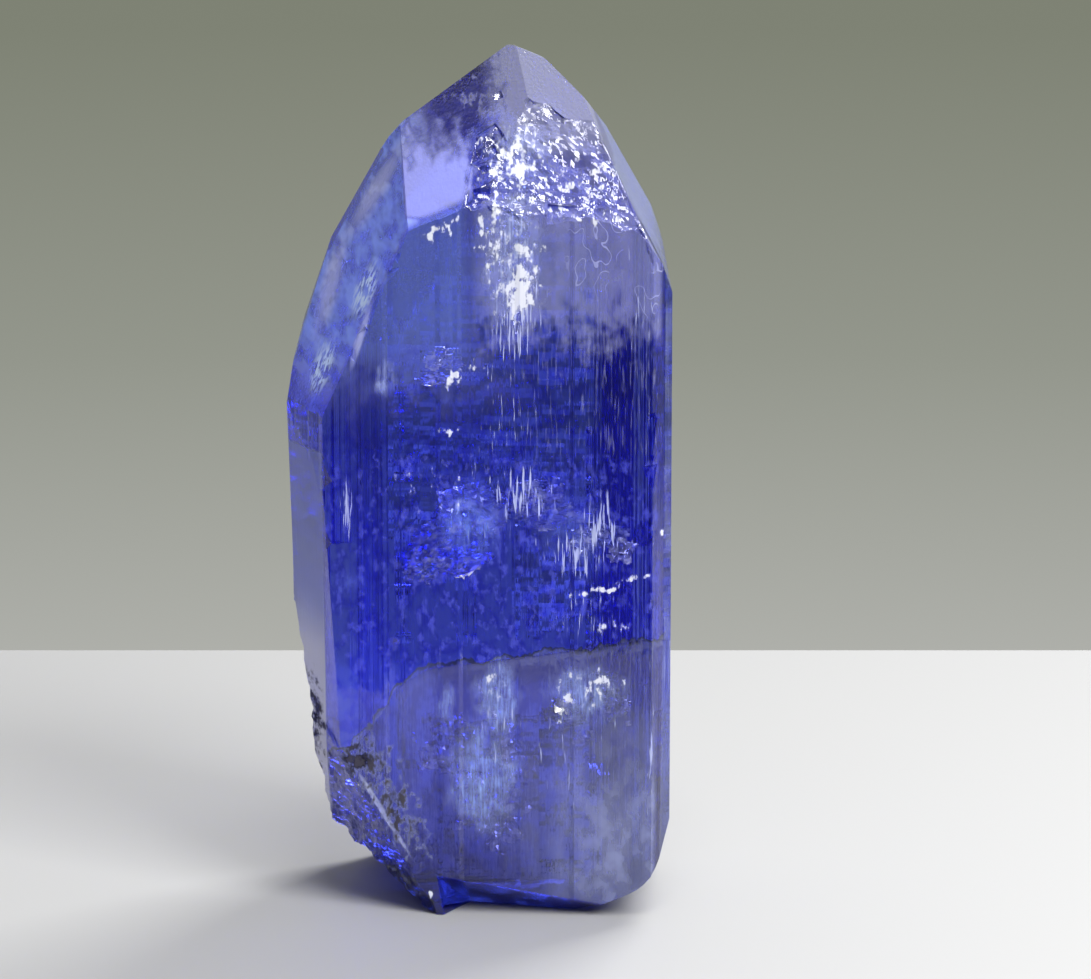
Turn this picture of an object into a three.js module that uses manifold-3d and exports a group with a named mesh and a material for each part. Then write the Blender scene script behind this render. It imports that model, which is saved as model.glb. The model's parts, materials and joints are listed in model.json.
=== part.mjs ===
// A rough tanzanite crystal, standing on the flat of its broken foot.
// Millimetres, +Z up along the crystal's long axis, -Y towards the broad striated front face.
// The origin is at the middle of the bounding box's base, on the surface that the crystal stands on.

import * as THREE from 'three';
import { ImprovedNoise } from 'three/addons/math/ImprovedNoise.js';
import { mergeVertices } from 'three/addons/utils/BufferGeometryUtils.js';
import Module from 'manifold-3d';

// Driving dimensions
const HEIGHT = 22;
const WIDTH = 9.8;
const DEPTH = 6.8;
const FRONT = -DEPTH / 2;

// Prism outline, seen from above, as shares of the half width and half depth.
// The walk is counter-clockwise from the front face's left edge.
const PRISM_CORNERS = [
  [-0.79, -0.92],
  [0.9, -1],
  [1, -0.78],
  [0.97, 0.4],
  [0.6, 0.94],
  [-0.42, 1],
  [-0.91, 0.5],
  [-1, -0.3],
];

// Striations: the narrow upright strips that every prism face is made of
const STRIP_WIDTH = { min: 0.11, max: 0.44 };
const STRIP_RELIEF = 0.04;
const GROWTH_STEP_EVERY = 9;
const GROWTH_STEP_RELIEF = 0.055;

// The left side draws in a little towards the foot
const LEFT_TAPER = { azimuth: 203, slope: 93.2, through: [-4.9, -1.0, 13.2] };

// A lower ledge of parallel growth on the back left, which shows past the left side
const LEDGE = { outer: -4.72, inner: -2.7, front: 0, back: 2.6, corner: 0.6, height: 9.1 };
const LEDGE_TOP = { azimuth: 168, slope: 52, through: [LEDGE.outer, 0.5, LEDGE.height] };

// A healed crack crosses the whole crystal and dips towards the back. Below it the crystal leans back
// a little. The crack line on the front face is given as x and z.
const CRACK_LINE = [
  [-6, 3.2],
  [-3.34, 4.4],
  [-2.44, 5.45],
  [-2.05, 6.1],
  [-1.27, 6.58],
  [1.6, 6.9],
  [6, 7.5],
];
const CRACK_HEIGHT = 6.7;
const CRACK_DIP = 20;
const LOWER_LEAN = 1.4;
const LOWER_SET_BACK = 0.07;
const HEAL_OVERLAP = 0.02;

// Faces of the point. Azimuth is the way the face looks, in degrees from +X towards +Y, slope is its
// angle from level, and the face goes through the point that is given.
const POINT_FACES = [
  { name: 'below the left shoulder', azimuth: 183, slope: 80, through: [-4.84, 0, 13.57] },
  { name: 'left shoulder', azimuth: 184, slope: 72, through: [-4.6, 0, 14.5] },
  { name: 'over the left shoulder', azimuth: 187, slope: 65, through: [-3.5, 0, 17.63] },
  { name: 'left front', azimuth: 208, slope: 68, through: [-2.56, FRONT, 15.45] },
  { name: 'left flank', azimuth: 186, slope: 58, through: [-2.64, 0, 19.15] },
  { name: 'over the left flank', azimuth: 182, slope: 48, through: [-2.01, 0, 20.0] },
  { name: 'left crown', azimuth: 176, slope: 36, through: [-1.0, 0, 20.75] },
  { name: 'upper front', azimuth: 246, slope: 47, through: [-0.75, FRONT, 17.8] },
  { name: 'cap', azimuth: 286, slope: 41, through: [1.2, 0, 21.85] },
  { name: 'right of the apex', azimuth: 5, slope: 23, through: [1.32, 0, 21.83] },
  { name: 'behind the apex', azimuth: 88, slope: 28, through: [0.8, 0.25, HEIGHT] },
  { name: 'right crown', azimuth: 8, slope: 47, through: [2.2, 0, 21.15] },
  { name: 'right flank', azimuth: 355, slope: 62, through: [3.55, 0, 19.3] },
  { name: 'right shoulder', azimuth: 358, slope: 72, through: [4.64, 0, 17.1] },
  { name: 'left back', azimuth: 128, slope: 63, through: [-1.2, 3.4, 15.4] },
  { name: 'right back', azimuth: 52, slope: 60, through: [2.4, 3.0, 17.6] },
];

// Broken faces, which are uneven: cell is the size of the small lumps, lump that of the broad ones,
// and relief how far they stand
const BREAK_SHARES = { broad: 1.6, fine: 0.45 };
const BROKEN_FACES = [
  {
    name: 'right front of the point',
    azimuth: 275, slope: 53, through: [2.1, FRONT, 17.95], cell: 0.4, relief: 0.13, lump: 1.1,
  },
  {
    name: 'lower left break',
    azimuth: 212, slope: 116, through: [-2.93, FRONT, 3.6], cell: 0.45, relief: 0.16, lump: 1.5,
  },
  {
    name: 'left heel',
    azimuth: 192, slope: 136, through: [-2.6, -1.5, 0.9], cell: 0.5, relief: 0.2, lump: 1.2,
  },
  {
    name: 'left side break',
    azimuth: 178, slope: 99, through: [-4.25, 0.5, 4.4], cell: 0.6, relief: 0.2, lump: 1.8,
  },
  {
    name: 'scooped back',
    azimuth: 87, slope: 89, through: [0.9, 3.26, 11], cell: 0.5, relief: 0.2, lump: 2.2,
  },
];

// Foot: the crystal stands on a flat, its back keeps within the depth all the way down, the lower right
// corner is worn round, and the front is undercut to the right of a small spur
const REST_FACE = { azimuth: 0, slope: 180, through: [0, 0, 0] };
const BACK_FACE = { azimuth: 90, slope: 90, through: [0, DEPTH / 2, 0] };
const UNDERCUT = { azimuth: 254.5, slope: 145, through: [-1.35, FRONT, 1.35] };
const FOOT_WEAR = { azimuth: 356, radius: 1.5, lift: 0.42, slopes: [104, 113, 122, 131, 140, 149, 158] };

// Chips along the edges that stand out most. Azimuth and slope give the way the edge looks.
const CHIPPED_EDGES = [
  {
    name: 'front of the point', azimuth: 272, slope: 70,
    from: [0.2, -3.4, 18.0], to: [4.5, -3.4, 17.8], count: 14, bite: 0.12,
  },
  {
    name: 'middle of the point', azimuth: 262, slope: 48,
    from: [0.1, -3.2, 18.2], to: [0.6, -0.4, 21.4], count: 9, bite: 0.12,
  },
  {
    name: 'left of the point', azimuth: 242, slope: 80,
    from: [-3.3, -3.2, 13.8], to: [-1.8, -3.3, 17.1], count: 8, bite: 0.07,
  },
  {
    name: 'front left', azimuth: 237, slope: 90,
    from: [-3.87, -3.13, 5.0], to: [-3.87, -3.13, 12.6], count: 9, bite: 0.06,
  },
  {
    name: 'front right', azimuth: 300, slope: 90,
    from: [4.41, -3.4, 2.6], to: [4.41, -3.4, 16.8], count: 16, bite: 0.06,
  },
  {
    name: 'back right', azimuth: 18, slope: 90,
    from: [4.75, 1.36, 4.0], to: [4.75, 1.36, 15.5], count: 10, bite: 0.08,
  },
  {
    name: 'back left', azimuth: 160, slope: 90,
    from: [-4.46, 1.7, 9.6], to: [-4.46, 1.7, 14.0], count: 5, bite: 0.08,
  },
  {
    name: 'right of the back', azimuth: 68, slope: 90,
    from: [2.94, 3.2, 2.0], to: [2.94, 3.2, 15.0], count: 11, bite: 0.09,
  },
  {
    name: 'left of the back', azimuth: 110, slope: 90,
    from: [-2.06, 3.4, 2.0], to: [-2.06, 3.4, 14.0], count: 10, bite: 0.09,
  },
];
const CHIP_LENGTH = { min: 0.25, max: 1.2 };
const CHIP_SWING = 26;

// A cutting block has to reach past the crystal on every side, and a broken face's past its own edges
const BLOCK = 3 * HEIGHT;
const PATCH = 1.2 * HEIGHT;
const SEED = 20;

const wasm = await Module();
wasm.setup();
const noise = new ImprovedNoise();

// The same strips and chips come out each time, because the stream of numbers starts from a seed
const random = THREE.MathUtils.seededRandom;
random(SEED);

function solidFrom(geometry) {
  const bare = geometry.clone();
  bare.deleteAttribute('normal');
  bare.deleteAttribute('uv');
  const merged = mergeVertices(bare);
  return new wasm.Manifold(
    new wasm.Mesh({
      numProp: 3,
      vertProperties: merged.attributes.position.array,
      triVerts: new Uint32Array(merged.index.array),
    }),
  );
}

function geometryFrom(solid) {
  const mesh = solid.getMesh();
  const geometry = new THREE.BufferGeometry();
  geometry.setAttribute('position', new THREE.BufferAttribute(mesh.vertProperties, 3));
  geometry.setIndex(new THREE.BufferAttribute(mesh.triVerts, 1));
  geometry.computeVertexNormals();
  return geometry;
}

// The way a face looks: azimuth round +Z from +X, slope from level
function faceNormal({ azimuth, slope }) {
  const turn = THREE.MathUtils.degToRad(azimuth);
  const tilt = THREE.MathUtils.degToRad(slope);
  return new THREE.Vector3(
    Math.sin(tilt) * Math.cos(turn),
    Math.sin(tilt) * Math.sin(turn),
    Math.cos(tilt),
  );
}

// Stands a block, modelled with its cutting side at z = 0, on the outside of a face
function placedOnFace(geometry, face) {
  const stand = new THREE.Quaternion().setFromUnitVectors(new THREE.Vector3(0, 0, 1), faceNormal(face));
  const move = new THREE.Matrix4().compose(
    new THREE.Vector3(...face.through),
    stand,
    new THREE.Vector3(1, 1, 1),
  );
  return geometry.applyMatrix4(move);
}

function flatFaceCutter(face) {
  const block = new THREE.BoxGeometry(BLOCK, BLOCK, BLOCK).translate(0, 0, BLOCK / 2);
  return solidFrom(placedOnFace(block, face));
}

// A break has broad shell-like lumps with sharper, smaller ones on them
function breakRelief(x, y, face, layer) {
  const broad = Math.abs(noise.noise(x / face.lump, y / face.lump, layer));
  const fine = noise.noise(x / face.cell / 2, y / face.cell / 2, layer + 0.5);
  return face.relief * (BREAK_SHARES.broad * broad + BREAK_SHARES.fine * fine);
}

function brokenFaceCutter(face, layer) {
  const cells = Math.round(PATCH / face.cell);
  const block = new THREE.BoxGeometry(PATCH, PATCH, PATCH, cells, cells, 1).translate(0, 0, PATCH / 2);
  const spots = block.attributes.position;
  for (let i = 0; i < spots.count; i++) {
    if (spots.getZ(i) < PATCH / 2) {
      spots.setZ(i, -breakRelief(spots.getX(i), spots.getY(i), face, layer));
    }
  }
  return solidFrom(placedOnFace(block, face));
}

// Walks the prism's sides and sets each strip a little in from the true face
function striatedOutline() {
  const outline = new THREE.Shape();
  const corners = PRISM_CORNERS.map(([x, y]) => new THREE.Vector2((x * WIDTH) / 2, (y * DEPTH) / 2));
  outline.moveTo(corners[0].x, corners[0].y);
  corners.forEach((start, side) => {
    const end = corners[(side + 1) % corners.length];
    const along = end.clone().sub(start);
    const length = along.length();
    along.normalize();
    const inward = new THREE.Vector2(-along.y, along.x);
    let strip = 0;
    let walked = 0;
    for (;;) {
      walked += THREE.MathUtils.lerp(STRIP_WIDTH.min, STRIP_WIDTH.max, random() ** 2);
      if (walked > length - STRIP_WIDTH.min) break;
      strip += 1;
      const step = strip % GROWTH_STEP_EVERY === 0 ? GROWTH_STEP_RELIEF : STRIP_RELIEF;
      const spot = start.clone().addScaledVector(along, walked).addScaledVector(inward, step * random());
      outline.lineTo(spot.x, spot.y);
    }
    if (side < corners.length - 1) outline.lineTo(end.x, end.y);
  });
  return outline;
}

// The ledge is a slim slab of parallel growth along the left back side, with a slanting top
function ledge() {
  const slab = new THREE.Shape();
  slab.moveTo(LEDGE.outer, LEDGE.front);
  slab.lineTo(LEDGE.inner, LEDGE.front);
  slab.lineTo(LEDGE.inner, LEDGE.back);
  slab.lineTo(LEDGE.outer + LEDGE.corner, LEDGE.back);
  slab.lineTo(LEDGE.outer, LEDGE.back - 2 * LEDGE.corner);
  const grown = new THREE.ExtrudeGeometry(slab, { depth: LEDGE.height, bevelEnabled: false });
  return solidFrom(grown).subtract(flatFaceCutter(LEDGE_TOP));
}

// Everything below the crack, as one block that reaches past the crystal at the front and the back
function belowCrack(lift) {
  const side = new THREE.Shape(CRACK_LINE.map(([x, z]) => new THREE.Vector2(x, z + lift - CRACK_HEIGHT)));
  side.lineTo(CRACK_LINE.at(-1)[0], -HEIGHT);
  side.lineTo(CRACK_LINE[0][0], -HEIGHT);
  const block = new THREE.ExtrudeGeometry(side, { depth: 3 * DEPTH, bevelEnabled: false });
  block.rotateX(THREE.MathUtils.degToRad(90)).translate(0, 2 * DEPTH, 0);
  block.rotateX(THREE.MathUtils.degToRad(-CRACK_DIP)).translate(0, FRONT, CRACK_HEIGHT);
  return solidFrom(block);
}

// The prism in two lengths, grown together again across the crack
function crackedPrism() {
  const outline = striatedOutline();
  const upper = new THREE.ExtrudeGeometry(outline, { depth: HEIGHT, bevelEnabled: false });
  const lower = upper.clone().translate(0, LOWER_SET_BACK, -HEIGHT / 2);
  lower.rotateX(THREE.MathUtils.degToRad(LOWER_LEAN)).translate(0, 0, CRACK_HEIGHT);
  const below = solidFrom(lower).intersect(belowCrack(HEAL_OVERLAP));
  return solidFrom(upper).subtract(belowCrack(0)).add(below);
}

// The round lower right corner is a fan of flats round one centre
function footWearCutters() {
  const { azimuth, radius, lift, slopes } = FOOT_WEAR;
  const centre = new THREE.Vector3(WIDTH / 2 - radius, 0, radius + lift);
  return slopes.map((slope) => {
    const rim = faceNormal({ azimuth, slope }).multiplyScalar(radius).add(centre);
    return flatFaceCutter({ azimuth, slope, through: rim.toArray() });
  });
}

// The undercut's block starts at the spur, so its left side is the spur's wall
function undercutCutter() {
  const block = new THREE.BoxGeometry(BLOCK, BLOCK, BLOCK).translate(BLOCK / 2, 0, BLOCK / 2);
  return solidFrom(placedOnFace(block, UNDERCUT));
}

// A chip is a flake split off along a flat that lies a little askew on the edge
function chipCutters(edge) {
  const from = new THREE.Vector3(...edge.from);
  const to = new THREE.Vector3(...edge.to);
  return Array.from({ length: edge.count }, () => {
    const length = THREE.MathUtils.lerp(CHIP_LENGTH.min, CHIP_LENGTH.max, random() ** 2);
    const flat = {
      azimuth: edge.azimuth + CHIP_SWING * (random() - 0.5),
      slope: edge.slope + CHIP_SWING * (random() - 0.5),
      through: from.clone().lerp(to, random()).toArray(),
    };
    const block = new THREE.BoxGeometry(length, length, BLOCK).rotateZ(Math.PI * random());
    return solidFrom(placedOnFace(block.translate(0, 0, BLOCK / 2 - edge.bite * random()), flat));
  });
}

function crystalSolid() {
  const cutters = [
    ...[...POINT_FACES, BACK_FACE, REST_FACE].map(flatFaceCutter),
    ...BROKEN_FACES.map(brokenFaceCutter),
    ...footWearCutters(),
    undercutCutter(),
  ];
  const grown = crackedPrism().subtract(flatFaceCutter(LEFT_TAPER)).add(ledge());
  const chips = CHIPPED_EDGES.flatMap(chipCutters);
  return [...cutters, ...chips].reduce((solid, cutter) => solid.subtract(cutter), grown);
}

const crystal = new THREE.Mesh(
  geometryFrom(crystalSolid()),
  new THREE.MeshStandardMaterial({ color: 0x2b2f9a, roughness: 0.12, metalness: 0 }),
);
crystal.name = 'tanzanite_crystal';

const tanzanite = new THREE.Group();
tanzanite.add(crystal);

export default tanzanite;
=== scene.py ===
"""Looks of a rough tanzanite crystal: its clear violet-blue body, the cracks inside it and a plain stage."""

import json
import math
import random

import bpy
from mathutils import Matrix, Vector, noise

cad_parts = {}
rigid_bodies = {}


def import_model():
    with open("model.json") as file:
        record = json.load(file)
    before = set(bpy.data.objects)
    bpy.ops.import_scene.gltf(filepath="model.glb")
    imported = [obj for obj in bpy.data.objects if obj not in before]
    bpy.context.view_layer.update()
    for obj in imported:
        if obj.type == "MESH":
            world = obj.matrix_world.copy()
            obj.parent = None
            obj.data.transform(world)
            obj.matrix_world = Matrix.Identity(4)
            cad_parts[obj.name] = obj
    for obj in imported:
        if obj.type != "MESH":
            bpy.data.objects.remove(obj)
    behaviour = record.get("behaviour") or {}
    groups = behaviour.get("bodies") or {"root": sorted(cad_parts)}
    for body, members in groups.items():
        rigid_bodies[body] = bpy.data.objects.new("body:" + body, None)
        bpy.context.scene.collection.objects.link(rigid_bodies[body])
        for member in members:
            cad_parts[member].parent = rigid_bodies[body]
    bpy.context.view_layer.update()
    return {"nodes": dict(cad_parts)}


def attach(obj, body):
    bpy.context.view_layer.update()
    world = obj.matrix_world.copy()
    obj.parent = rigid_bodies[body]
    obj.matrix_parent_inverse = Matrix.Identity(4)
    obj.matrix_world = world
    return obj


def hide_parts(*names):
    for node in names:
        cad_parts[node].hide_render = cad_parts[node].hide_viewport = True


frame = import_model()

# The crystal: one piece of clear violet-blue zoisite with striated sides, a chipped point and a broken foot.
# It starts as a merged copy of the solid. Where it broke, the surface is cut finer and hackled,
# in scallops about as wide as the breaks of such a brittle stone.
MM = 0.001
MERGE = 0.0005 * MM
BREAKS = {
    "front of the point": {"azimuth": 275, "slope": 53, "through": (2.1, -3.4, 17.95), "lumps": 0.4},
    "lower left": {"azimuth": 212, "slope": 116, "through": (-2.93, -3.4, 3.6), "lumps": 0.45},
    "left heel": {"azimuth": 192, "slope": 136, "through": (-2.6, -1.5, 0.9), "lumps": 0.5},
    "left side": {"azimuth": 178, "slope": 99, "through": (-4.25, 0.5, 4.4), "lumps": 0.6},
    "scooped back": {"azimuth": 87, "slope": 89, "through": (0.9, 3.26, 11), "lumps": 0.5},
}
BREAK_DEPTH = 0.5 * MM
BREAK_SPREAD = math.radians(48)
LONGEST_LUMP = 1.7
SCALLOPS = {"broad": {"width": 0.55, "depth": 0.1}, "fine": {"width": 0.2, "depth": 0.04}}
SCALLOP_LEVEL = 0.9


def looks_towards(azimuth, slope):
    """The way a face looks: azimuth from +X towards +Y, slope from level, both in degrees."""
    turn, tilt = math.radians(azimuth), math.radians(slope)
    return Vector((math.sin(tilt) * math.cos(turn), math.sin(tilt) * math.sin(turn), math.cos(tilt)))


def lies_on(face, fracture):
    """True if a face of the body belongs to a break, whose faces are all short."""
    normal = looks_towards(fracture["azimuth"], fracture["slope"])
    depth = (Vector(fracture["through"]) * MM - face.center).dot(normal)
    corners = [crystal.data.vertices[corner].co for corner in face.vertices]
    longest = max((start - end).length for start, end in zip(corners, corners[1:] + corners[:1]))
    near = abs(depth) < BREAK_DEPTH and face.normal.angle(normal, math.pi) < BREAK_SPREAD
    return near and longest < LONGEST_LUMP * fracture["lumps"] * MM


bpy.ops.object.select_all(action="DESELECT")
crystal = bpy.data.objects.new("crystal", frame["nodes"]["tanzanite_crystal"].data.copy())
bpy.context.scene.collection.objects.link(crystal)
bpy.context.view_layer.objects.active = crystal
crystal.select_set(True)
bpy.ops.object.mode_set(mode="EDIT")
bpy.ops.mesh.select_all(action="SELECT")
bpy.ops.mesh.remove_doubles(threshold=MERGE)
bpy.ops.mesh.select_all(action="DESELECT")
bpy.ops.object.mode_set(mode="OBJECT")
for face in crystal.data.polygons:
    face.select = any(lies_on(face, fracture) for fracture in BREAKS.values())
crystal.vertex_groups.new(name="broken")
bpy.ops.object.mode_set(mode="EDIT")
bpy.ops.mesh.subdivide(number_cuts=3, fractal=0.12, fractal_along_normal=0, seed=3)
bpy.ops.mesh.select_less()
bpy.ops.object.vertex_group_assign()
bpy.ops.mesh.select_all(action="SELECT")
bpy.ops.mesh.quads_convert_to_tris()
bpy.ops.object.mode_set(mode="OBJECT")
for name, scallop in SCALLOPS.items():
    hackle = bpy.data.textures.new(name, "VORONOI")
    hackle.noise_scale = scallop["width"] * MM
    hackle.distance_metric = "MANHATTAN"
    carve = crystal.modifiers.new(name, "DISPLACE")
    carve.texture = hackle
    carve.texture_coords = "LOCAL"
    carve.direction = "NORMAL"
    carve.vertex_group = "broken"
    carve.mid_level = SCALLOP_LEVEL
    carve.strength = scallop["depth"] * MM
    bpy.ops.object.modifier_apply(modifier=name)


class Shade:
    """A socket in a material's node tree. Sums of these add Math nodes, and node() adds any other."""

    def __init__(self, tree, socket=None):
        self.tree = tree
        self.socket = socket

    def node(self, kind, settings=None, sockets=None, output=0):
        made = self.tree.nodes.new("ShaderNode" + kind)
        for name, value in (settings or {}).items():
            if name == "stops":
                ramp = made.color_ramp.elements
                while len(ramp) < len(value):
                    ramp.new(1)
                for stop, (position, colour) in zip(ramp, value):
                    stop.position = position
                    stop.color = colour
            else:
                setattr(made, name, value)
        for name, value in (sockets or {}).items():
            if isinstance(value, Shade):
                self.tree.links.new(value.socket, made.inputs[name])
            else:
                made.inputs[name].default_value = value
        return Shade(self.tree, made.outputs[output] if made.outputs else None)

    def maths(self, operation, *values):
        return self.node("Math", {"operation": operation}, dict(enumerate(values)))

    def __add__(self, other):
        return self.maths("ADD", self, other)

    def __radd__(self, other):
        return self.maths("ADD", other, self)

    def __sub__(self, other):
        return self.maths("SUBTRACT", self, other)

    def __rsub__(self, other):
        return self.maths("SUBTRACT", other, self)

    def __mul__(self, other):
        return self.maths("MULTIPLY", self, other)

    def __rmul__(self, other):
        return self.maths("MULTIPLY", other, self)

    def __truediv__(self, other):
        return self.maths("DIVIDE", self, other)

    def __neg__(self):
        return self.maths("MULTIPLY", -1, self)

    def __abs__(self):
        return self.maths("ABSOLUTE", self)

    def most(self, other):
        return self.maths("MAXIMUM", self, other)

    def ramp(self, start, full):
        """0 where the value is at its start, 1 where it is full, smooth between."""
        return self.node(
            "MapRange",
            {"interpolation_type": "SMOOTHSTEP"},
            {"Value": self, "From Min": start, "From Max": full},
        )

    def blend(self, start, end):
        """A colour from start to end as the value goes from 0 to 1."""
        return self.node("Mix", {"data_type": "RGBA"}, {0: self, 6: start, 7: end}, output=2)


def new_material(name):
    """An empty material, its shade and the places on its surface in millimetres."""
    material = bpy.data.materials.new(name)
    material.use_nodes = True
    material.node_tree.nodes.clear()
    start = Shade(material.node_tree)
    spot = start.node("TexCoord", output="Object")
    return material, start, start.node("VectorMath", {"operation": "SCALE"}, {0: spot, "Scale": 1 / MM})


def scaled(where, size, middle):
    """Places measured from a middle, in sizes along X, Y and Z."""
    shrink = Vector([1 / reach for reach in size])
    sockets = {0: where, 1: shrink, 2: -Vector(middle) * shrink}
    return where.node("VectorMath", {"operation": "MULTIPLY_ADD"}, sockets)


def leaning(where, lean):
    """Places as seen by something that leans to the right, in degrees, and the turn that does it."""
    turn = Matrix.Rotation(math.radians(-lean), 3, "Y")
    if not lean:
        return where, turn
    sockets = {"Vector": where, "Angle": math.radians(-lean)}
    return where.node("VectorRotate", {"rotation_type": "Y_AXIS"}, sockets), turn


def grain(where, size, detail, start=0.0):
    """Cloudy noise whose patches are about the given size: flat noise for two sizes, solid for three."""
    spot = scaled(where, [*size, 1][:3], (start, start, start))
    sockets = {"Vector": spot, "Scale": 1.0, "Detail": detail, "Roughness": 0.6}
    return where.node("TexNoise", {"noise_dimensions": f"{len(size)}D"}, sockets)


def spread(marks, where):
    """How deep inside the nearest of some marks a point is: 1 at its middle, 0 outside them all."""
    deepest = 0.0
    views = {lean: leaning(where, lean) for lean in {mark.get("lean", 0) for mark in marks}}
    for mark in marks:
        seen, turn = views[mark.get("lean", 0)]
        spot = scaled(seen, mark["reach"], turn @ Vector(mark["at"]))
        fade = where.node("TexGradient", {"gradient_type": "SPHERICAL"}, {"Vector": spot}, output="Fac")
        deepest = (fade * mark["full"] if "full" in mark else fade).most(deepest)
    return deepest


def moved(where, amount):
    """Places, each moved by a vector."""
    return where.node("VectorMath", {"operation": "ADD"}, {0: where, 1: amount})


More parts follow.
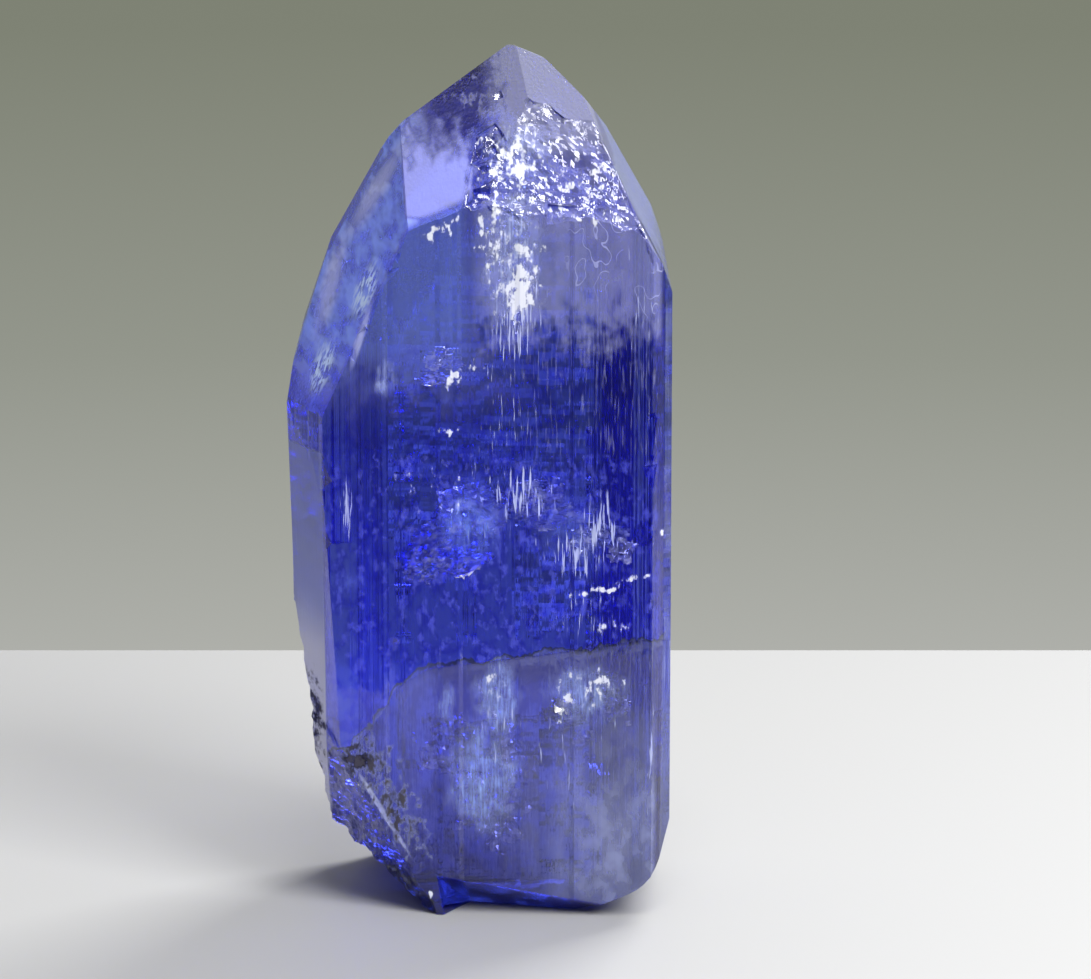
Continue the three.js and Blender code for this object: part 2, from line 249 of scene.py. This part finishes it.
# Marks on its front: the middle and reach of each in millimetres, how many degrees it leans to the right
# and how full it is. Flecks are white cracks near the surface, partly painted glints of the lamps in them;
# lines are upright dashes along the striae, partly painted highlights; glows are a soft, painted pale blue
# glow;
# rock is the dark host rock left in the breaks; sparkles are painted glints; streaks carry a painted
# highlight;
# and the edge is a painted highlight along a break.
MARKS = {
    "point": {
        "flecks_and_glints": [
            {"at": (1.1, -3.4, 16.1), "reach": (0.5, 0.8, 1.1), "full": 1.5},
            {"at": (1.0, -3.4, 16.6), "reach": (1.0, 0.8, 1.7), "full": 0.9},
            {"at": (0.45, -3.2, 17.7), "reach": (0.7, 0.9, 1.7), "full": 0.9},
            {"at": (0.95, -2.3, 19.2), "reach": (1.2, 1.4, 1.5)},
            {"at": (2.5, -2.7, 18.7), "reach": (2.2, 1.4, 1.5), "full": 0.5},
            {"at": (3.0, -3.35, 17.98), "reach": (2.4, 0.5, 0.22), "full": 0.8},
            {"at": (-0.95, -3.3, 17.6), "reach": (1.3, 0.5, 0.26), "lean": -30},
            # Painted glints in short rows leaning up to the right
            {"at": (-0.4, -3.4, 13.95), "reach": (1.0, 0.5, 0.36), "lean": -30},
            {"at": (-0.57, -3.4, 12.7), "reach": (0.6, 0.4, 0.24), "lean": -30, "full": 0.85},
        ],
        "lines_and_highlights": [
            {"at": (1.0, -3.4, 15.5), "reach": (1.0, 0.6, 1.6)},
            {"at": (4.2, -3.4, 15.6), "reach": (0.9, 0.6, 1.8), "full": 0.45},
            {"at": (0.7, -3.4, 13.0), "reach": (1.0, 0.6, 1.6), "full": 0.45},
        ],
        "glows": [
            {"at": (-2.3, -3.1, 13.9), "reach": (0.5, 1.0, 0.8), "lean": 17, "full": 0.8},
            {"at": (0.85, -3.2, 17.0), "reach": (1.1, 1.2, 2.6)},
            {"at": (1.0, -2.3, 19.3), "reach": (1.2, 1.4, 1.4), "full": 0.8},
        ],
        "rock": [{"at": (-0.2, -1.4, 21.0), "reach": (1.0, 1.6, 0.8), "full": 0.62}],
        "sparkles": [
            {"at": (-2.85, -2.7, 16.1), "reach": (0.45, 1.2, 1.1), "lean": 20},
            {"at": (-3.86, -1.5, 14.0), "reach": (0.45, 2.0, 1.1), "lean": 20},
        ],
        "streaks_and_sheen": [
            {"at": (-3.75, -1.0, 16.0), "reach": (0.36, 4.0, 1.9), "lean": 15},
            {"at": (-2.6, -1.0, 18.4), "reach": (0.36, 4.0, 2.2), "lean": 32},
            {"at": (-2.87, -3.0, 15.05), "reach": (0.16, 1.5, 1.4), "lean": 17},
        ],
        "veins": [{"at": (3.8, -3.4, 17.2), "reach": (2.0, 0.6, 2.2)}],
    },
    "middle": {
        "flecks_and_glints": [
            # A painted glint where the right edge catches the light
            {"at": (4.75, -3.1, 10.2), "reach": (0.4, 0.5, 0.45), "full": 1.3},
            {"at": (3.2, -3.4, 8.65), "reach": (1.6, 0.5, 0.15), "lean": -16},
            # Small painted glints
            {"at": (3.45, -3.4, 7.6), "reach": (0.6, 0.4, 0.3), "full": 0.6},
            # Sparse painted glints over the middle
            {"at": (-1.2, -3.4, 11.2), "reach": (1.6, 0.6, 1.4), "full": 0.24},
        ],
        "lines_and_highlights": [
            # A painted glint running upright down the left of the front
            {"at": (-3.28, -3.3, 10.9), "reach": (0.2, 0.5, 1.0), "full": 1.7},
            {"at": (1.1, -3.4, 10.95), "reach": (1.3, 0.6, 0.55), "full": 1.3},
            {"at": (3.1, -3.4, 10.3), "reach": (0.65, 0.6, 0.8), "full": 1.1},
            {"at": (2.5, -3.4, 9.6), "reach": (1.3, 0.6, 0.5), "full": 1.1},
            {"at": (2.7, -3.4, 8.2), "reach": (1.0, 0.6, 1.4), "full": 0.55},
            {"at": (0.4, -3.4, 11.0), "reach": (1.8, 0.6, 1.6), "full": 0.35},
        ],
        "glows": [
            {"at": (-0.2, -3.4, 10.2), "reach": (1.3, 0.9, 1.6), "full": 0.8},
            {"at": (2.4, -3.4, 10.0), "reach": (1.6, 0.9, 1.4), "full": 0.5},
            {"at": (-3.3, -3.4, 8.7), "reach": (0.8, 0.6, 0.4), "lean": -30, "full": 0.6},
        ],
        "rock": [
            {"at": (-2.1, -3.4, 7.0), "reach": (0.5, 0.4, 0.6), "full": 0.5},
            {"at": (-4.3, -1.4, 4.9), "reach": (0.6, 2.0, 1.5), "full": 0.9},
        ],
    },
    "foot": {
        "flecks_and_glints": [
            {"at": (0.47, -3.4, 6.15), "reach": (0.45, 0.5, 0.9), "full": 1.1},
            {"at": (2.15, -3.4, 5.6), "reach": (0.5, 0.5, 0.65), "full": 1.1},
            {"at": (3.1, -3.4, 6.1), "reach": (0.7, 0.5, 0.55), "full": 1.1},
            {"at": (2.7, -3.4, 5.8), "reach": (1.2, 0.5, 0.9), "full": 0.6},
            {"at": (-1.27, -3.0, 0.6), "reach": (0.2, 1.5, 0.2), "full": 1.2},
        ],
        "lines_and_highlights": [
            # A painted highlight down the right bevel
            {"at": (4.4, -3.3, 3.85), "reach": (0.12, 0.4, 1.8)},
            {"at": (1.6, -3.4, 4.4), "reach": (3.0, 0.6, 2.4), "full": 0.36},
            {"at": (0.4, -3.4, 5.2), "reach": (0.7, 0.6, 1.5), "full": 0.6},
        ],
        "glows": [
            {"at": (0.1, -3.4, 3.6), "reach": (1.3, 0.9, 2.2), "full": 1.1},
            {"at": (0.5, -3.4, 5.8), "reach": (0.8, 0.9, 1.5), "full": 1.1},
            {"at": (2.7, -3.4, 5.8), "reach": (1.6, 0.9, 1.4), "full": 0.8},
            {"at": (-0.8, -3.4, 5.4), "reach": (0.4, 0.6, 1.3), "full": 0.9},
        ],
        "rock": [
            {"at": (-2.95, -3.2, 4.1), "reach": (1.1, 1.0, 0.9)},
            {"at": (-2.1, -3.1, 2.8), "reach": (0.8, 1.2, 1.9), "lean": -24, "full": 0.7},
            {"at": (-4.3, -0.6, 4.8), "reach": (0.7, 2.4, 2.6), "full": 0.8},
        ],
        "edge": [{"at": (-2.44, -3.2, 2.74), "reach": (0.1, 1.0, 1.8), "lean": -31}],
    },
}

# Its colours and the numbers of its stone: zoisite has an IOR of 1.69 and swallows most red and green light
CLEAR = {"IOR": 1.69, "Transmission Weight": 1.0}
MATT = {"Specular IOR Level": 0.0}
STONE_COLOUR = (0.023, 0.17, 0.96, 1)
STONE_DENSITY = 430.0
COLOURLESS = (1, 1, 1, 1)
DEEP_BLUE = (0.26, 0.26, 0.85, 1)
# White of the cracks near the surface and of the painted glints in them
CRACK_AND_GLINT_WHITE = (0.8, 0.82, 0.88, 1)
# Blue of the upright dashes and of the painted highlights
LINE_HIGHLIGHT_BLUE = (0.55, 0.6, 0.9, 1)
# Three blues of painted glow: light thrown back by cracks deeper inside
GLOW_BLUE = (0.2, 0.32, 0.92, 1)
GLOW_PALE = (0.45, 0.54, 0.88, 1)
GLOW_LOW = (0.3, 0.44, 0.95, 1)
ROCK_DARK = (0.003, 0.003, 0.005, 1)
ROCK_GREY = (0.05, 0.046, 0.045, 1)
WORN_DARK = (0.14, 0.15, 0.22, 1)
WORN_PALE = (0.4, 0.45, 0.7, 1)
STRIAE_DEPTH = 0.02 * MM
FROST_ROUGHNESS = 0.4
FRONT_ROUGHNESS = 0.03

body, shade, place = new_material("tanzanite")
x, y, z = (shade.node("SeparateXYZ", sockets={0: place}, output=axis) for axis in "XYZ")

# The sides and the back: striated, a little rough, with faint scratches, pale patches, and frost that turns
# darker towards the bottom
mottle = grain(place, (1.1, 1.1, 1.6), 1, start=2)
striae = grain(place, (0.09, 0.09), 1)
scratches = grain(place, (0.04, 0.04), 0, start=9).ramp(0.6, 0.7) * mottle.ramp(0.3, 0.6)
behind = y.ramp(-2.6, 1.0)
height = striae * (0.3 + 0.7 * behind)
relief = shade.node("Bump", sockets={"Height": height, "Strength": 1.0, "Distance": STRIAE_DEPTH})
side_roughness = FRONT_ROUGHNESS + 0.09 * behind
side_stone = shade.node(
    "BsdfPrincipled",
    sockets={"Base Color": COLOURLESS, "Roughness": side_roughness, **CLEAR, "Normal": relief},
)
# The frost on the sides and back turns darker towards the bottom
darker_low = 1 - (z + 4 * (mottle - 0.5)).ramp(1.0, 7.5)
side_frost = shade.node(
    "BsdfPrincipled",
    sockets={
        "Base Color": (1 - darker_low).blend(WORN_DARK, WORN_PALE),
        "Roughness": FROST_ROUGHNESS,
        **MATT,
        "Normal": relief,
    },
)
side_worn = (0.12 * mottle.ramp(0.4, 0.75) + 0.2 * scratches).most(0.5 * darker_low)
side_worn = side_worn.most(0.22 * z.ramp(15.5, 18.0))
sides = shade.node("MixShader", sockets={0: side_worn, 1: side_stone, 2: side_frost})

# What the stretches of the front share: fine flecks, upright fibres, blotches and warped places
flat = shade.node("CombineXYZ", sockets={"X": x, "Y": z})
fleck = 2.2 * grain(flat, (0.2, 0.32), 3, start=1) - 0.6
fibre = 2 * grain(flat, (0.055, 0.8), 2, start=4) - 0.5
blotch = grain(flat, (0.45, 0.6), 2, start=12)
columns = grain(flat, (0.1, 30), 0, start=4)
swirl = shade.node(
    "TexNoise", {"noise_dimensions": "2D"}, {"Vector": flat, "Scale": 1.7, "Detail": 1.0}, output="Color"
)
swirl = shade.node("VectorMath", {"operation": "SUBTRACT"}, {0: swirl, 1: (0.5, 0.5, 0.5)})
swirled = moved(place, shade.node("VectorMath", {"operation": "SCALE"}, {0: swirl, "Scale": 0.5}))
hung = moved(place, shade.node("CombineXYZ", sockets={"Z": (columns - 0.5) * 1.6}))
grit = fleck.ramp(0.3, 0.9).blend(ROCK_DARK, ROCK_GREY)
on_front = (-y).ramp(2.9, 3.2)
upright = on_front * (0.2 * fibre.ramp(0.6, 1.0) * x.ramp(-1, 3))


def strewn(field, speck, start, full):
    """Specks within a field, thicker and larger towards its middle."""
    return (0.75 * field + speck).ramp(start, full) * field.ramp(0.0, 0.12)


def dressed(marks, haze, haze_colour, glow_colour, glass_colour):
    """A stretch of the front: clear stone under haze, painted glows, white flecks and lines with painted
    glints and highlights, and host rock.
    """
    glow = spread(marks["glows"], swirled).ramp(0.0, 0.8) * (0.6 * fleck + 0.6 * fibre)
    flecks_and_glints = strewn(spread(marks["flecks_and_glints"], swirled), fleck, 0.85, 1.25)
    lines_and_highlights = strewn(spread(marks["lines_and_highlights"], hung), fibre, 0.9, 1.25)
    rock = strewn(spread(marks["rock"], swirled), 0.7 * fleck, 0.5, 0.95)
    colour = lines_and_highlights.blend(glow.blend(haze_colour, glow_colour), LINE_HIGHLIGHT_BLUE)
    colour = rock.blend(flecks_and_glints.blend(colour, CRACK_AND_GLINT_WHITE), grit)
    cover = haze.most(0.6 * glow).most(0.55 * lines_and_highlights).most(0.7 * flecks_and_glints).most(0.9 * rock)
    clear = {"Base Color": glass_colour, "Roughness": FRONT_ROUGHNESS, **CLEAR, "Normal": relief}
    frost = {"Base Color": colour, "Roughness": FROST_ROUGHNESS, **MATT, "Normal": relief}
    stone, skin = (shade.node("BsdfPrincipled", sockets=sockets) for sockets in (clear, frost))
    return shade.node("MixShader", sockets={0: cover, 1: stone, 2: skin})


# The healed crack across the front, as heights at places along it, and how far above it a point is
CRACK_LINE = [(-6, 3.2), (-3.34, 4.4), (-2.44, 5.45), (-2.05, 6.1), (-1.27, 6.58), (1.6, 6.9), (6, 7.5)]
CRACK_REACH = 6
CRACK_TOP = 10
crack_stops = [((along + CRACK_REACH) / (2 * CRACK_REACH), up / CRACK_TOP) for along, up in CRACK_LINE]
crack_height = shade.node(
    "ValToRGB",
    {"stops": [(position, (up, up, up, 1)) for position, up in crack_stops]},
    {"Fac": x / (2 * CRACK_REACH) + 0.5},
)
above_crack = z - CRACK_TOP * crack_height + (blotch - 0.5) * 0.6 + (fleck - 0.5) * 0.08

# The narrow facet on the left edge of the front: frosty, with a painted reflection of the pale backdrop that
# is brightest low down
FACET_GREY = (0.38, 0.44, 0.75, 1)
FACET_REFLECTION_WHITE = (0.8, 0.8, 0.95, 1)
facet = (-x).ramp(3.84, 3.92) * (1 - z.ramp(12.5, 14))
# Painted reflection on the facet, brightest low down
facet_painted_reflection = 1 - z.ramp(6.5, 8.5)
facet_haze_and_reflection = facet * (0.4 + 0.4 * facet_painted_reflection)
facet_frost_and_reflection = facet_painted_reflection.blend(FACET_GREY, FACET_REFLECTION_WHITE)

# The point: a grey cap, a lavender facet, a hazy break, a hazy right side with white veins,
# and facets on the left with pale streaks that carry a painted highlight, and painted blue-white sparkles
HAZE_LAVENDER = (0.36, 0.38, 0.66, 1)
HAZE_BLUE = (0.26, 0.36, 0.95, 1)
CAP_GREY = (0.27, 0.28, 0.4, 1)
FACET_LAVENDER = (0.4, 0.43, 0.95, 1)
STREAK_SHEEN_PALE = (0.5, 0.54, 0.85, 1)
SPARKLE_BLUE = (0.6, 0.74, 1.0, 1)
deep_blue = blotch.ramp(0.4, 0.62).blend(COLOURLESS, DEEP_BLUE)
top_haze = on_front * (z + (blotch - 0.5) * 3 + (fibre - 0.5) * 0.8).ramp(14.2, 15.8) * x.ramp(-0.6, 0.4)
leaned = shade.node("CombineXYZ", sockets={"X": x - 0.38 * z, "Y": z})
# Painted glints: blue-white sparkles on the facets to the left, and a sheen in the pale streaks
glint = 2.4 * grain(leaned, (0.05, 0.3), 2, start=15) - 0.7
sparkle = spread(MARKS["point"]["sparkles"], place).ramp(0.0, 0.6) * glint.ramp(0.25, 0.65)
# Pale streaks, with a painted highlight along the far left edge
streak_and_sheen = spread(MARKS["point"]["streaks_and_sheen"], place).ramp(0.0, 0.8) * (0.8 + glint).ramp(0.0, 1.0)
lavender = (x + 0.09 * z).ramp(-0.2, -0.14) * (1 - (x + 0.3 * fleck).ramp(-0.2, 0.2)) * (1 - on_front)
lavender = lavender * z.ramp(17.8, 18.0) * (1 - (z + 2 * blotch).ramp(20.0, 21.3))
left_haze = (-x - 0.4 * z).ramp(-7.2, -5.6) * z.ramp(12.5, 15.0) * (1 - 0.8 * on_front) * (1 - lavender)
upper_left = on_front * (1 - x.ramp(-0.6, 0.4)) * (z + (blotch - 0.5) * 3).ramp(12.5, 15.5)
cap_haze = (z - 0.5 * y).ramp(20.2, 20.8) * (x + 0.6 * fleck).ramp(0.3, 1.1)
break_haze = (z + 0.45 * y).ramp(16.4, 16.7) * x.ramp(0.0, 0.6) * (1 - on_front)
vein = 1 - abs(grain(flat, (0.5, 0.8), 1, start=20) - 0.5).ramp(0.004, 0.018)
veins = 0.6 * spread(MARKS["point"]["veins"], place).ramp(0, 0.3) * vein * mottle.ramp(0.35, 0.5)
point_haze = (top_haze * (0.17 + 0.22 * blotch)).most(0.18 * break_haze).most(0.45 * cap_haze)
point_haze = point_haze.most(left_haze * (0.2 + 0.6 * blotch.ramp(0.3, 0.7))).most(0.2 * upper_left)
point_haze = point_haze.most(upright).most(veins)
point_haze = point_haze.most(0.46 * lavender).most(0.55 * streak_and_sheen).most(0.85 * sparkle)
point_colour = left_haze.most(upper_left).blend(HAZE_LAVENDER, HAZE_BLUE)
point_colour = cap_haze.blend(point_colour, CAP_GREY)
point_colour = lavender.blend(point_colour, FACET_LAVENDER)
point_colour = streak_and_sheen.blend(point_colour, STREAK_SHEEN_PALE)
point_colour = sparkle.blend(point_colour, SPARKLE_BLUE)
point = dressed(MARKS["point"], point_haze, point_colour, GLOW_PALE, deep_blue)

# The middle: deep blue, with faint lighter patches painted as reflections of the broken back, and the bright
# dashes of its inner wings, partly painted light
FIBRE_AND_REFLECTION_BLUE = (0.12, 0.14, 0.8, 1)
# Painted reflections of the broken back, as faint lighter patches
back_reflections = on_front * 0.3 * (0.4 * fleck + 0.6 * blotch).ramp(0.5, 0.75)
middle_haze = facet_haze_and_reflection.most(upright).most(back_reflections)
middle_colour = facet.blend(FIBRE_AND_REFLECTION_BLUE, facet_frost_and_reflection)
middle = dressed(MARKS["middle"], middle_haze, middle_colour, GLOW_BLUE, deep_blue)

# The foot, below the crack: a dark line and a faint pale band along the crack, frost low on the right,
# a painted highlight along the edge of the break on the left, and a painted shadow on the underside
FOOT_LAVENDER = (0.34, 0.38, 0.68, 1)
FOOT_PALE = (0.55, 0.55, 0.85, 1)
FOOT_DEEP = (0.05, 0.05, 0.32, 1)
CRACK_AND_SHADOW_DARK = (0.015, 0.018, 0.03, 1)
band = 1 - abs(above_crack + 0.15).ramp(0.05, 0.2)
crack_line = 1 - abs(above_crack).ramp(0.03, 0.1)
# Painted shadow on the underside of the foot
shaded_underside = (1 - z.ramp(0.9, 1.2)) * (1 - on_front)
right_frost = 0.4 + 0.6 * (0.5 * blotch + 0.5 * mottle).ramp(0.35, 0.65)
right_frost = x.ramp(0.0, 4.0) * (1 - z.ramp(1.5, 6.5)) * right_frost
low_left = (1 - x.ramp(-1.4, -0.4)) * (1 - z.ramp(0.8, 1.8))
left_panel = 0.1 * (1 - x.ramp(-1.5, -0.7))
# A painted highlight along the edge of the break on the left
edge = spread(MARKS["foot"]["edge"], place).ramp(0.0, 0.5)
foot_haze = on_front * (0.01 + 0.04 * mottle + left_panel + 0.5 * right_frost) * (1 - 0.8 * low_left)
foot_haze = foot_haze.most(facet_haze_and_reflection).most(upright).most(0.12 * band * x.ramp(-1.5, 0.5))
foot_haze = foot_haze.most(0.5 * edge * (0.4 + fleck))
foot_colour = edge.blend(facet.blend(FOOT_LAVENDER, facet_frost_and_reflection), LINE_HIGHLIGHT_BLUE)
near_crack = (above_crack + 2.6).ramp(0.0, 2.0) * x.ramp(-1.6, -0.8)
foot_glass = (0.6 * blotch + 0.2 * fibre + 0.12 * near_crack).ramp(0.3, 0.52).blend(FOOT_PALE, FOOT_DEEP)
# The crack's own dark line, and the painted shadow under the foot
foot_glass = shaded_underside.most(crack_line).blend(foot_glass, CRACK_AND_SHADOW_DARK)
foot = dressed(MARKS["foot"], foot_haze, foot_colour, GLOW_LOW, foot_glass)

above = shade.node("MixShader", sockets={0: z.ramp(11.95, 12.05), 1: middle, 2: point})
front = shade.node("MixShader", sockets={0: above_crack.ramp(0.0, 0.04), 1: foot, 2: above})
towards_front = -y - 0.35 * x + 2.2 * (z + 3 * (mottle - 0.5)).ramp(19, 20.5)
surface = shade.node("MixShader", sockets={0: towards_front.ramp(1.15, 1.25), 1: sides, 2: front})
inside = shade.node("VolumeAbsorption", sockets={"Color": STONE_COLOUR, "Density": STONE_DENSITY})
shade.node("OutputMaterial", sockets={"Surface": surface, "Volume": inside})
crystal.data.materials.clear()
crystal.data.materials.append(body)

# The cracks inside it: thin ragged air gaps, which shine where they throw light back.
# Each starts as a grid, loses its rim in ragged bites, is roughened and given its thickness,
# and is then joined to the crystal with its faces turned towards the gap.
CRACKS = {
    "veil": {"at": (1.0, -2.9, 16.4), "reach": (0.7, 1.3), "azimuth": 268, "slope": 74, "plates": 4},
    "veil top": {"at": (0.9, -2.1, 18.0), "reach": (0.7, 0.8), "azimuth": 268, "slope": 60, "plates": 3},
    "wing middle": {"at": (1.3, -2.8, 10.8), "reach": (1.3, 0.6), "azimuth": 265, "slope": 50, "plates": 4},
    "wing right": {"at": (3.1, -2.8, 9.6), "reach": (0.9, 0.8), "azimuth": 285, "slope": 55, "plates": 4},
    "wing left": {"at": (-0.5, -2.6, 9.9), "reach": (1.2, 1.1), "azimuth": 255, "slope": 50, "plates": 5},
    "streak left": {"at": (-0.8, -2.9, 14.1), "reach": (0.7, 0.4), "azimuth": 250, "slope": 45, "plates": 3},
    "lower middle": {"at": (0.5, -2.8, 5.4), "reach": (0.5, 1.2), "azimuth": 270, "slope": 70, "plates": 4},
    "lower right": {"at": (2.8, -2.8, 5.7), "reach": (0.9, 0.8), "azimuth": 285, "slope": 60, "plates": 5},
    "low cloud": {"at": (0.2, -2.2, 3.2), "reach": (1.3, 1.4), "azimuth": 270, "slope": 65, "plates": 5},
}
GAP = 0.02
PLATE_CELLS = 18
PLATE_SIZES = (0.45, 0.9)
PLATE_ROUGHNESS = 0.05
BITE_FINENESS = 1.8
BITE_DEPTH = 0.9
PLATE_RIM = 0.55
AZIMUTH_SCATTER = 14
SLOPE_SCATTER = 10
STRAY = 0.8
STRAY_DEPTH = 0.2
GAP_SILVER = (0.95, 0.95, 0.95, 1)
dice = random.Random(7)
plates = []
for crack in CRACKS.values():
    across, along = crack["reach"]
    for _ in range(crack["plates"]):
        size = dice.uniform(*PLATE_SIZES)
        bites = dice.uniform(0, 100)
        bpy.ops.object.select_all(action="DESELECT")
        bpy.ops.mesh.primitive_grid_add(x_subdivisions=PLATE_CELLS, y_subdivisions=PLATE_CELLS, size=2)
        plate = bpy.context.object
        bpy.ops.object.mode_set(mode="EDIT")
        bpy.ops.mesh.select_all(action="DESELECT")
        bpy.ops.object.mode_set(mode="OBJECT")
        for face in plate.data.polygons:
            rough = noise.fractal(face.center * BITE_FINENESS + Vector((0, 0, bites)), 0.6, 2, 3)
            face.select = face.center.length_squared + BITE_DEPTH * rough > PLATE_RIM
        bpy.ops.object.mode_set(mode="EDIT")
        bpy.ops.mesh.delete(type="FACE")
        bpy.ops.mesh.select_all(action="SELECT")
        bpy.ops.transform.vertex_random(offset=PLATE_ROUGHNESS, uniform=0.2, seed=dice.randrange(1000))
        bpy.ops.object.mode_set(mode="OBJECT")
        plate.scale = (size * across * MM, size * along * MM, size * min(across, along) * MM)
        azimuth = crack["azimuth"] + dice.gauss(0, AZIMUTH_SCATTER)
        slope = crack["slope"] + dice.gauss(0, SLOPE_SCATTER)
        normal = looks_towards(azimuth, slope)
        plate.rotation_euler = normal.to_track_quat("Z", "Y").to_euler()
        strays = [(STRAY, across), (STRAY_DEPTH, 1), (STRAY, along)]
        stray = Vector([dice.uniform(-most, most) * reach for most, reach in strays])
        plate.location = (Vector(crack["at"]) + stray) * MM
        bpy.ops.object.transform_apply(location=True, rotation=True, scale=True)
        plates.append(plate)
for plate in plates:
    plate.select_set(True)
bpy.ops.object.join()
cracks = bpy.context.object
cracks.name = "cracks"
thickness = cracks.modifiers.new("gap", "SOLIDIFY")
thickness.thickness = GAP * MM
thickness.offset = 0
bpy.ops.object.modifier_apply(modifier="gap")
bpy.ops.object.mode_set(mode="EDIT")
bpy.ops.mesh.select_all(action="SELECT")
bpy.ops.mesh.quads_convert_to_tris()
bpy.ops.mesh.flip_normals()
bpy.ops.object.mode_set(mode="OBJECT")

gap_face, gap_shade, gap_place = new_material("crack_face")
glare = grain(gap_place, (0.25, 0.25, 0.25), 1).ramp(0.4, 0.7)
mirror = gap_shade.node("BsdfPrincipled", sockets={"Base Color": COLOURLESS, "Roughness": 0.02, **CLEAR})
silver = gap_shade.node("BsdfPrincipled", sockets={"Base Color": GAP_SILVER, "Roughness": 0.5, **MATT})
shine = gap_shade.node("MixShader", sockets={0: 0.05 + 0.35 * glare, 1: mirror, 2: silver})
gap_shade.node("OutputMaterial", sockets={"Surface": shine})
cracks.data.materials.append(gap_face)

bpy.ops.object.select_all(action="DESELECT")
cracks.select_set(True)
crystal.select_set(True)
bpy.context.view_layer.objects.active = crystal
bpy.ops.object.join()
for face in crystal.data.polygons:
    face.use_smooth = False
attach(crystal, "root")
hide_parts("tanzanite_crystal")

# The stage: a plain floor with pale matt paint, just below the foot.
# It is a plane that reaches past both sides of the picture and back to where the backdrop begins.
FLOOR_REACH = 29 * MM
FLOOR_DROP = 0.02 * MM
FLOOR_PAINT = (0.29, 0.29, 0.29, 1)
bpy.ops.object.select_all(action="DESELECT")
bpy.ops.mesh.primitive_plane_add(size=2, location=(0, 0, -FLOOR_DROP))
floor = bpy.context.object
floor.scale = (2.5 * FLOOR_REACH, FLOOR_REACH, 1)
bpy.ops.object.transform_apply(location=True, rotation=True, scale=True)
floor.name = "floor"
paint = bpy.data.materials.new("pale_floor")
paint.use_nodes = True
paint.node_tree.nodes["Principled BSDF"].inputs["Base Color"].default_value = FLOOR_PAINT
paint.node_tree.nodes["Principled BSDF"].inputs["Roughness"].default_value = 0.6
floor.data.materials.append(paint)

# The light: a plain studio with a grey-green backdrop that pales towards the floor, and three soft lamps.
# The backdrop is the world's colour by height, weaker in front of the crystal than behind it.
# Each lamp stands at the same distance from the crystal's middle and looks at it.
BACKDROP = [
    (0.0, (0.6, 0.6, 0.6, 1)),
    (0.39, (0.44, 0.445, 0.418, 1)),
    (0.43, (0.292, 0.305, 0.262, 1)),
    (0.47, (0.209, 0.223, 0.174, 1)),
    (0.7, (0.3, 0.3, 0.3, 1)),
    (1.0, (1.2, 1.2, 1.2, 1)),
]
LAMPS = {
    "key": {"azimuth": 310, "height": 35, "size": 70, "radiance": 24},
    "top": {"azimuth": 285, "height": 65, "size": 60, "radiance": 14},
    "back": {"azimuth": 55, "height": 45, "size": 70, "radiance": 22},
}
LAMP_DISTANCE = 160
LAMP_TARGET = Vector((0, 0, 11 * MM))
world = bpy.data.worlds.new("studio")
bpy.context.scene.world = world
world.use_nodes = True
sky = Shade(world.node_tree)
sky_way = sky.node("TexCoord", output="Generated")
sky_height = sky.node("SeparateXYZ", sockets={0: sky_way}, output="Z")
sky_depth = sky.node("SeparateXYZ", sockets={0: sky_way}, output="Y")
backdrop = sky.node("ValToRGB", {"stops": BACKDROP}, {"Fac": sky_height * 0.5 + 0.5})
strength = 0.3 + 0.7 * sky_depth.ramp(-0.2, 0.4)
sky_inputs = world.node_tree.nodes["Background"].inputs
world.node_tree.links.new(backdrop.socket, sky_inputs["Color"])
world.node_tree.links.new(strength.socket, sky_inputs["Strength"])
for name, lamp in LAMPS.items():
    light = bpy.data.lights.new(name, "AREA")
    light.size = lamp["size"] * MM
    light.energy = lamp["radiance"] * math.pi * (lamp["size"] * MM) ** 2
    holder = bpy.data.objects.new(name, light)
    bpy.context.scene.collection.objects.link(holder)
    away = looks_towards(lamp["azimuth"], 90 - lamp["height"])
    holder.location = LAMP_TARGET + away * LAMP_DISTANCE * MM
    holder.rotation_euler = away.to_track_quat("Z", "Y").to_euler()

# The camera: a long lens in front of the crystal and a little above it, which looks down by ten degrees.
# It stands so far off that a millimetre at the crystal takes the given pixels of the frame,
# and so that the middle of the foot is at the given pixel.
ELEVATION = math.radians(10)
PIXELS_PER_MM = 38.6
FRAME_SIZE = Vector((1091, 979))
FOOT_PIXEL = Vector((479, 890))
LENS = 135
BOUNCES = 6
offset = (FRAME_SIZE / 2 - FOOT_PIXEL) / PIXELS_PER_MM * MM
aim = Vector((offset.x, 0, -offset.y / math.cos(ELEVATION)))
towards_eye = Vector((0, -math.cos(ELEVATION), math.sin(ELEVATION)))
eye = bpy.data.cameras.new("camera")
eye.lens = LENS
eye.clip_start = 5 * MM
camera = bpy.data.objects.new("camera", eye)
bpy.context.scene.collection.objects.link(camera)
camera.location = aim + towards_eye * (FRAME_SIZE.x / PIXELS_PER_MM * MM * LENS / eye.sensor_width)
camera.rotation_euler = towards_eye.to_track_quat("Z", "Y").to_euler()
bpy.context.scene.camera = camera
bpy.context.scene.view_settings.view_transform = "Standard"
bpy.context.scene.cycles.max_bounces = BOUNCES
bpy.context.scene.cycles.glossy_bounces = BOUNCES
bpy.context.scene.cycles.transmission_bounces = BOUNCES
